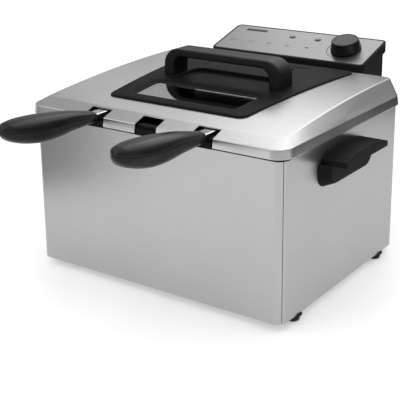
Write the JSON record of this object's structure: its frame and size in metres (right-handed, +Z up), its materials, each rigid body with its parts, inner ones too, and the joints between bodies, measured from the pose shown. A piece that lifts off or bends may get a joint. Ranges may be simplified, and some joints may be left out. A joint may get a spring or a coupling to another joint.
{
  "type": "deep fryer",
  "caption": "Countertop electric deep fryer with brushed steel housing, lift-off windowed lid, lift-out oil pot and baskets, and a removable control unit with immersed element.",
  "frame": {"origin": "on the surface the fryer stands on, under the middle of the whole object's bounding box", "axes": "+Z up; +Y towards the rear, where the control unit hangs; -Y towards the basket handles; +X to the right seen from the front"},
  "size_m": [0.424, 0.5212, 0.2707],
  "materials": {
    "brushed_steel": "fine brushed stainless sheet",
    "bright_steel": "bright plated steel",
    "zinc_plate": "zinc plated sheet",
    "dark_pot": "dark non-stick coating",
    "dark_metal": "dull dark metal",
    "black_plastic": "fine textured black",
    "satin_black_plastic": "satin black",
    "black_rubber": "matt black",
    "window_glass": "clear tempered glass",
    "red_lens": "translucent red",
    "green_lens": "translucent green",
    "red_plastic": "plain red"
  },
  "bodies": {
    "base": {"front_panel": "brushed_steel", "side_and_back_panel": "brushed_steel", "base_plate": "zinc_plate", "foot_front_left": "black_rubber", "foot_front_right": "black_rubber", "foot_rear_left": "black_rubber", "foot_rear_right": "black_rubber", "foot_screw_front_left": "bright_steel", "foot_screw_front_right": "bright_steel", "foot_screw_rear_left": "bright_steel", "foot_screw_rear_right": "bright_steel", "rim_frame": "black_plastic", "side_handle_left": "black_plastic", "side_handle_right": "black_plastic", "side_handle_screw_left_1": "bright_steel", "side_handle_screw_left_2": "bright_steel", "side_handle_screw_right_1": "bright_steel", "side_handle_screw_right_2": "bright_steel"},
    "oil_pot": {"oil_pot": "dark_pot"},
    "lid": {"lid_shell": "brushed_steel", "lid_insert": "black_plastic", "window_glass": "window_glass", "window_seal": "black_rubber", "filter_cover": "black_plastic", "filter_mat": "dark_metal", "lid_handle": "black_plastic", "lid_handle_screw_left": "bright_steel", "lid_handle_screw_right": "bright_steel"},
    "basket_left": {"basket_left_cage": "bright_steel", "basket_left_rim": "bright_steel", "basket_left_handle_strap": "bright_steel", "basket_left_grip_upper": "satin_black_plastic", "basket_left_grip_lower": "satin_black_plastic", "basket_left_grip_screw": "bright_steel"},
    "basket_right": {"basket_right_cage": "bright_steel", "basket_right_rim": "bright_steel", "basket_right_handle_strap": "bright_steel", "basket_right_grip_upper": "satin_black_plastic", "basket_right_grip_lower": "satin_black_plastic", "basket_right_grip_screw": "bright_steel"},
    "control_unit": {"control_housing": "black_plastic", "control_cap": "black_plastic", "control_faceplate": "brushed_steel", "red_lamp_lens": "red_lens", "green_lamp_lens": "green_lens", "thermostat": "dark_metal", "element_bracket": "bright_steel", "bracket_screw_1": "bright_steel", "bracket_screw_2": "bright_steel", "heating_element": "dark_metal", "thermostat_probe": "bright_steel", "safety_switch": "black_plastic", "terminal_block": "black_plastic", "reset_switch": "dark_metal", "cord_gland": "black_rubber"},
    "knob": {"thermostat_knob": "black_plastic", "thermostat_shaft": "bright_steel"},
    "reset_button": {"reset_button": "red_plastic"}
  },
  "joints": [
    {"name": "lid_lift", "type": "slide", "parent": "base", "child": "lid", "axis": [0, 0, 1], "range_m": [0, 0.4]},
    {"name": "basket_left_lift", "type": "slide", "parent": "base", "child": "basket_left", "axis": [0, 0, 1], "range_m": [0, 0.35]},
    {"name": "basket_right_lift", "type": "slide", "parent": "base", "child": "basket_right", "axis": [0, 0, 1], "range_m": [0, 0.35]},
    {"name": "control_unit_lift", "type": "slide", "parent": "base", "child": "control_unit", "axis": [0, 0, 1], "range_m": [0, 0.33]},
    {"name": "oil_pot_lift", "type": "slide", "parent": "base", "child": "oil_pot", "axis": [0, 0, 1], "range_m": [0, 0.17]},
    {"name": "thermostat_knob_turn", "type": "hinge", "parent": "control_unit", "child": "knob", "pos_m": [0.0795, 0.2231, 0.2515], "axis": [0, 0.285, -0.9585], "range_deg": [0, 270]},
    {"name": "reset_button_press", "type": "slide", "parent": "control_unit", "child": "reset_button", "axis": [0, -1, 0], "range_m": [0, 0.003], "stiffness_N_per_m": 600, "springref_m": -0.001}
  ],
  "couplings": [
    {"joint": "basket_left_lift", "follows": "lid_lift", "ratio": 0.875},
    {"joint": "basket_right_lift", "follows": "lid_lift", "ratio": 0.875},
    {"joint": "control_unit_lift", "follows": "lid_lift", "ratio": 0.825},
    {"joint": "oil_pot_lift", "follows": "lid_lift", "ratio": 0.425}
  ]
}
